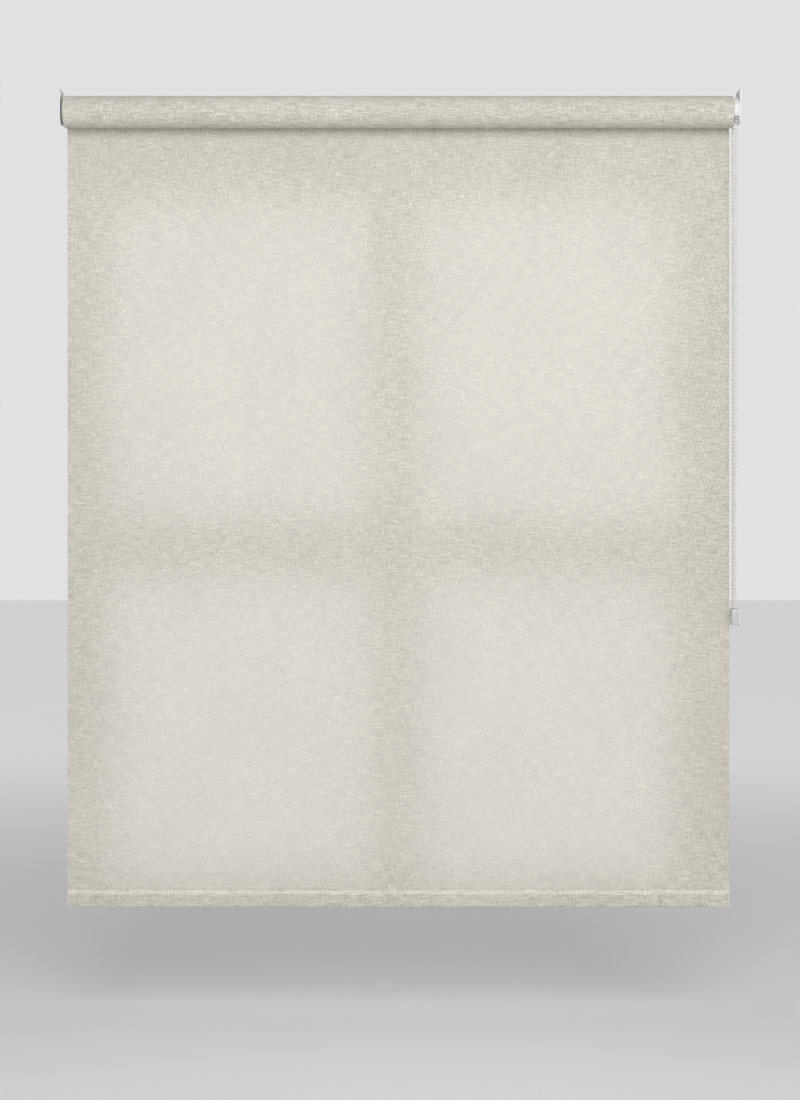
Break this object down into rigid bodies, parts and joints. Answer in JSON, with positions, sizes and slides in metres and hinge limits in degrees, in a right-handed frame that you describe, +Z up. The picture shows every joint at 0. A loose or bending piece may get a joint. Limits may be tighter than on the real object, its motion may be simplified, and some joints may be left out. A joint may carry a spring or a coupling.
{
  "type": "roller blind",
  "caption": "Chain-operated roller blind: cloth on a tube between two side brackets, weighted hem, endless bead chain and chain tensioner.",
  "frame": {"origin": "on the roller's axis, midway between the outer faces of the two brackets", "axes": "+X along the roller to the chain end, +Y towards the window behind the blind, +Z up"},
  "size_m": [1.0678, 0.0533, 1.289],
  "materials": {
    "cloth": "matt woven linen-look cloth, warm off-white, lets some light through",
    "aluminium": "extruded, mill finish",
    "white_steel": "white powder coat, fine satin",
    "white_plastic": "moulded white, satin",
    "chain_plastic": "moulded white beads, soft gloss",
    "grey_plastic": "moulded grey, satin",
    "clear_plastic": "moulded, milky and see-through",
    "spring_steel": "drawn, bright"
  },
  "bodies": {
    "root": {"bracket_left": "white_steel", "bracket_right": "white_steel", "idle_bush": "white_plastic", "control_core": "grey_plastic", "core_washer": "spring_steel", "core_screw": "spring_steel", "chain_guard": "white_plastic", "chain_over_wheel": "chain_plastic", "bead_chain": "chain_plastic", "tensioner_base": "white_plastic", "tensioner_cover": "clear_plastic", "tensioner_pin": "spring_steel", "fabric_sheet": "cloth"},
    "roller": {"roller_tube": "aluminium", "fabric_roll": "cloth", "idle_plug": "grey_plastic", "spring_retainer": "grey_plastic", "idle_spring": "spring_steel", "drive_plug": "grey_plastic", "wrap_spring_outer": "spring_steel", "wrap_spring_inner": "spring_steel"},
    "idle_pin": {"idle_pin": "spring_steel"},
    "drive_wheel": {"chain_wheel": "white_plastic"},
    "hem": {"hem_pocket": "cloth", "hem_bar": "aluminium", "bar_end_left": "white_plastic", "bar_end_right": "white_plastic"},
    "pulley": {"tensioner_wheel": "white_plastic"}
  },
  "joints": [
    {"name": "roller_spin", "type": "hinge", "parent": "root", "child": "roller", "pos_m": [0, 0, 0], "axis": [1, 0, 0], "range_deg": [0, 2520]},
    {"name": "chain_wheel_spin", "type": "hinge", "parent": "root", "child": "drive_wheel", "pos_m": [0.52677, 0, 0], "axis": [1, 0, 0], "range_deg": [0, 2520], "deforming": ["chain_over_wheel"]},
    {"name": "hem_lift", "type": "slide", "parent": "root", "child": "hem", "axis": [0, 0, 1], "range_m": [0, 1.17653], "deforming": ["fabric_sheet"]},
    {"name": "tensioner_wheel_spin", "type": "hinge", "parent": "root", "child": "pulley", "pos_m": [0.52677, 0.008, -0.7937], "axis": [1, 0, 0], "range_deg": [0, 4306]},
    {"name": "idle_pin_slide", "type": "slide", "parent": "roller", "child": "idle_pin", "axis": [1, 0, 0], "range_m": [0, 0.0045], "stiffness_N_per_m": 300, "springref_m": -0.006, "deforming": ["idle_spring"]}
  ],
  "couplings": [
    {"joint": "chain_wheel_spin", "follows": "roller_spin", "ratio": 1},
    {"joint": "hem_lift", "follows": "roller_spin", "m_per_rad": 0.02675},
    {"joint": "tensioner_wheel_spin", "follows": "roller_spin", "ratio": 1.7087}
  ]
}
